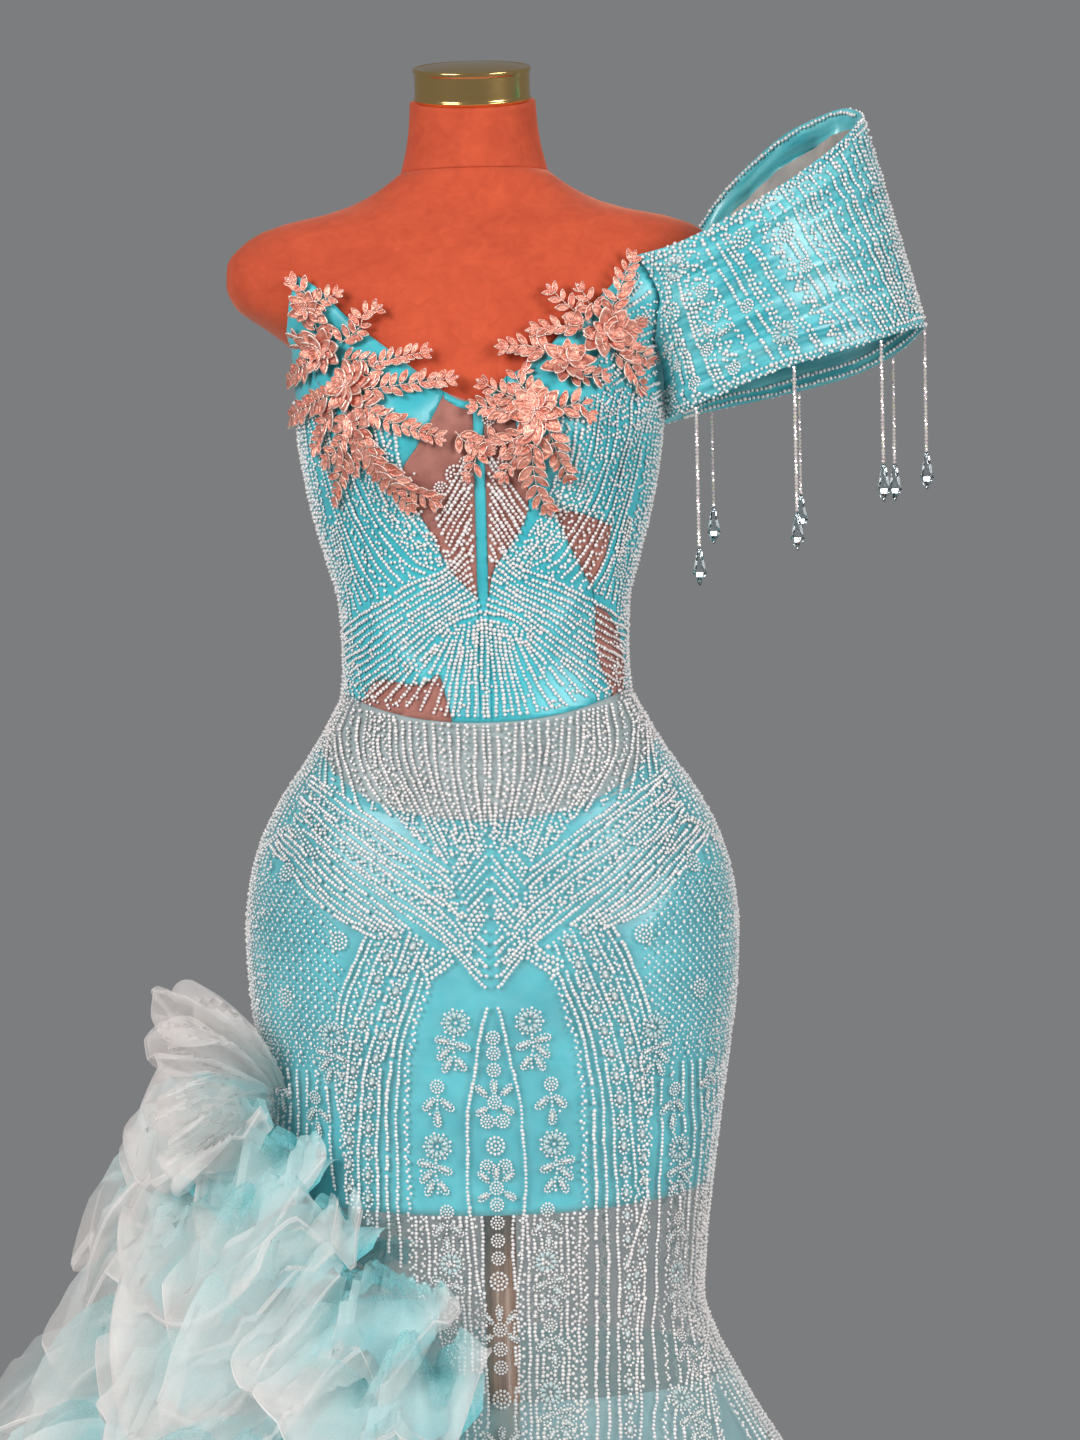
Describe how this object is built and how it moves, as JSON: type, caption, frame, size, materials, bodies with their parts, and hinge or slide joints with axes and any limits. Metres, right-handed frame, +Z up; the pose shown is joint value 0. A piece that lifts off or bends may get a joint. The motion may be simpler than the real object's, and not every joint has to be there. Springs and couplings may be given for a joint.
{
  "type": "mermaid prom gown on a dress form",
  "caption": "Beaded satin and sheer tulle mermaid gown with one off-shoulder band sleeve and a tulle ruffle cascade, worn by a limbless dress form on a round stand.",
  "frame": {"origin": "centre of the underside of the stand's round base, on the floor", "axes": "+Z up along the stand's pole; the gown's front faces -Y; +X is towards the single sleeve, the viewer's right"},
  "size_m": [1.1308, 0.9853, 1.6055],
  "materials": {
    "suede": "brushed suede cloth",
    "gold": "polished gold plate",
    "stand_wood": "satin copper-brown stain",
    "satin": "turquoise duchess satin",
    "nude_mesh": "nude power mesh",
    "beaded_tulle": "sheer tulle with glass beads",
    "glitter_tulle": "crisp glitter tulle",
    "rose_embroidery": "metallic rose corded embroidery",
    "glass_beads": "iridescent glass beads",
    "crystal": "faceted clear crystal"
  },
  "bodies": {
    "root": {"form_torso": "suede", "form_neck": "suede", "neck_cap": "gold", "stand_pole": "stand_wood", "stand_base": "stand_wood", "bodice_front_left": "satin", "bodice_front_right": "satin", "bodice_centre_strip": "satin", "bodice_side_left": "satin", "bodice_side_right": "satin", "bodice_back_right": "satin", "bodice_back_left": "satin", "back_placket": "satin", "satin_skirt_front": "satin", "satin_skirt_back_right": "satin", "satin_skirt_back_left": "satin", "sleeve_front": "satin", "sleeve_back": "satin", "inset_centre_left": "nude_mesh", "inset_centre_right": "nude_mesh", "inset_right_upper": "nude_mesh", "inset_right_lower": "nude_mesh", "inset_left_lower": "nude_mesh", "sleeve_mesh_lining": "nude_mesh", "overskirt_front": "beaded_tulle", "overskirt_back_right": "beaded_tulle", "overskirt_back_left": "beaded_tulle", "flare_front": "beaded_tulle", "flare_back_right": "beaded_tulle", "flare_back_left": "beaded_tulle", "petticoat_front": "glitter_tulle", "petticoat_back": "glitter_tulle", "ruffle_1": "glitter_tulle", "ruffle_2": "glitter_tulle", "ruffle_3": "glitter_tulle", "ruffle_4": "glitter_tulle", "ruffle_5": "glitter_tulle", "ruffle_6": "glitter_tulle", "ruffle_7": "glitter_tulle", "ruffle_8": "glitter_tulle", "ruffle_9": "glitter_tulle", "ruffle_10": "glitter_tulle", "ruffle_11": "glitter_tulle", "spray_left": "rose_embroidery", "spray_right": "rose_embroidery", "spray_bridge": "rose_embroidery", "bead_strand_1": "glass_beads", "bead_strand_2": "glass_beads", "bead_strand_3": "glass_beads", "bead_strand_4": "glass_beads", "bead_strand_5": "glass_beads", "bead_strand_6": "glass_beads", "bead_strand_7": "glass_beads", "crystal_drop_1": "crystal", "crystal_drop_2": "crystal", "crystal_drop_3": "crystal", "crystal_drop_4": "crystal", "crystal_drop_5": "crystal", "crystal_drop_6": "crystal", "crystal_drop_7": "crystal"}
  },
  "joints": []
}
